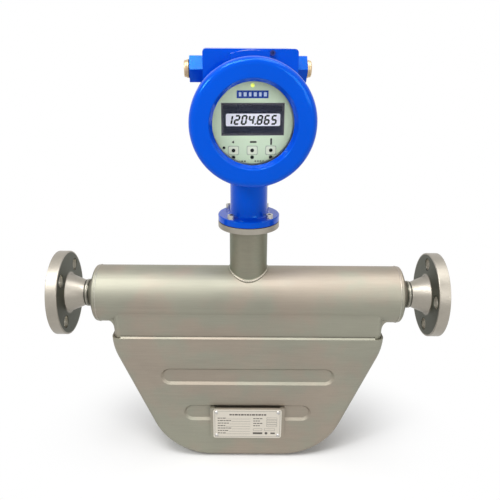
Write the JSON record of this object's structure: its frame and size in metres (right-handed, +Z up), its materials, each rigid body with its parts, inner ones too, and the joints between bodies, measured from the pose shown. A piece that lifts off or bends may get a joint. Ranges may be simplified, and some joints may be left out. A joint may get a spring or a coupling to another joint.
{
  "type": "coriolis flow meter",
  "caption": "Twin-tube coriolis mass flow meter: flanged sensor tube over a pressed delta case, with a round blue transmitter head and display on a stem.",
  "frame": {"origin": "centre of the inlet flange's raised face, on the pipe axis", "axes": "+X along the pipe in the direction of flow, +Z up to the transmitter head, -Y towards the display side"},
  "size_m": [0.493, 0.151, 0.535],
  "materials": {
    "satin_steel": "bead blasted",
    "flange_steel": "turned",
    "tube_steel": "drawn",
    "blue_paint": "gloss",
    "plain_steel": "bright",
    "dark_steel": "dark",
    "plate_metal": "satin, engraved",
    "black_rubber": "matte",
    "window_glass": "clear",
    "panel_print": "printed",
    "screen_dark": "gloss",
    "led_yellow": "clear",
    "key_black": "gloss",
    "board_green": "solder resist",
    "chip_black": "matte",
    "terminal_green": "moulded",
    "brass": "nickel-free, satin",
    "copper_coil": "varnished winding",
    "magnet_grey": "plated",
    "ceramic_white": "glazed"
  },
  "bodies": {
    "meter": {"inlet_flange": "flange_steel", "outlet_flange": "flange_steel", "inlet_splitter": "tube_steel", "outlet_splitter": "tube_steel", "housing_tube": "satin_steel", "inlet_end_cap": "satin_steel", "outlet_end_cap": "satin_steel", "case_saddle": "satin_steel", "case_front_pan": "satin_steel", "case_rear_pan": "satin_steel", "nameplate_bracket": "satin_steel", "nameplate": "plate_metal", "nameplate_rivets": "plain_steel", "stem_tube": "satin_steel", "stem_flange": "flange_steel", "feedthrough_disc": "dark_steel", "feedthrough_pins": "brass", "neck_gasket": "black_rubber", "neck_screws": "plain_steel", "head_housing": "blue_paint", "cover_lock_screw": "dark_steel", "faceplate": "panel_print", "faceplate_screws": "plain_steel", "display_module": "screen_dark", "status_led": "led_yellow", "key_windows": "key_black", "display_board": "board_green", "main_board": "board_green", "power_board": "board_green", "board_components": "chip_black", "board_standoffs": "plain_steel", "terminal_block": "terminal_green", "terminal_screws": "plain_steel", "earth_screw": "brass"},
    "front_tube_set": {"front_flow_tube": "tube_steel", "inlet_brace_plate": "tube_steel", "outlet_brace_plate": "tube_steel", "drive_magnet": "magnet_grey", "inlet_pickoff_magnet": "magnet_grey", "outlet_pickoff_magnet": "magnet_grey"},
    "rear_tube_set": {"rear_flow_tube": "tube_steel", "drive_coil": "copper_coil", "inlet_pickoff_coil": "copper_coil", "outlet_pickoff_coil": "copper_coil", "temperature_sensor": "ceramic_white"},
    "front_seal": {"front_cover_oring": "black_rubber"},
    "front_lid": {"front_cover": "blue_paint", "window_glass": "window_glass", "glass_retaining_ring": "dark_steel"},
    "rear_seal": {"rear_cover_oring": "black_rubber"},
    "rear_lid": {"rear_cover": "blue_paint"},
    "left_seal": {"left_plug_washer": "black_rubber"},
    "left_plug": {"left_cable_plug": "brass"},
    "right_seal": {"right_plug_washer": "black_rubber"},
    "right_plug": {"right_cable_plug": "brass"}
  },
  "joints": [
    {"name": "front_cover_advance", "type": "slide", "parent": "meter", "child": "front_seal", "axis": [0.0785, -0.9969, 0], "range_m": [0, 0.0161]},
    {"name": "front_cover_turn", "type": "hinge", "parent": "front_seal", "child": "front_lid", "pos_m": [0.25042, -0.04985, 0.2243], "axis": [0.0785, -0.9969, 0], "range_deg": [0, 2880]},
    {"name": "rear_cover_advance", "type": "slide", "parent": "meter", "child": "rear_seal", "axis": [-0.0785, 0.9969, 0], "range_m": [0, 0.0161]},
    {"name": "rear_cover_turn", "type": "hinge", "parent": "rear_seal", "child": "rear_lid", "pos_m": [0.24101, 0.06978, 0.2243], "axis": [-0.0785, 0.9969, 0], "range_deg": [0, 2880]},
    {"name": "left_plug_advance", "type": "slide", "parent": "meter", "child": "left_seal", "axis": [-0.9969, -0.0785, 0], "range_m": [0, 0.0105]},
    {"name": "left_plug_turn", "type": "hinge", "parent": "left_seal", "child": "left_plug", "pos_m": [0.17468, 0.02043, 0.2764], "axis": [-0.9969, -0.0785, 0], "range_deg": [0, 2521]},
    {"name": "right_plug_advance", "type": "slide", "parent": "meter", "child": "right_seal", "axis": [0.9969, 0.0785, 0], "range_m": [0, 0.0105]},
    {"name": "right_plug_turn", "type": "hinge", "parent": "right_seal", "child": "right_plug", "pos_m": [0.31424, 0.03141, 0.2764], "axis": [0.9969, 0.0785, 0], "range_deg": [0, 2521]},
    {"name": "front_tube_swing", "type": "hinge", "parent": "meter", "child": "front_tube_set", "pos_m": [0.2465, -0.0155, -0.062], "axis": [1, 0, 0], "range_deg": [-0.2, 0.2]},
    {"name": "rear_tube_swing", "type": "hinge", "parent": "meter", "child": "rear_tube_set", "pos_m": [0.2465, 0.0155, -0.062], "axis": [1, 0, 0], "range_deg": [-0.2, 0.2]}
  ],
  "couplings": [
    {"joint": "front_cover_advance", "follows": "front_cover_turn", "m_per_rad": 0.00031831},
    {"joint": "rear_cover_advance", "follows": "rear_cover_turn", "m_per_rad": 0.00031831},
    {"joint": "left_plug_turn", "follows": "left_plug_advance", "rad_per_m": 4188.8},
    {"joint": "right_plug_turn", "follows": "right_plug_advance", "rad_per_m": 4188.8},
    {"joint": "rear_tube_swing", "follows": "front_tube_swing", "ratio": -1}
  ]
}
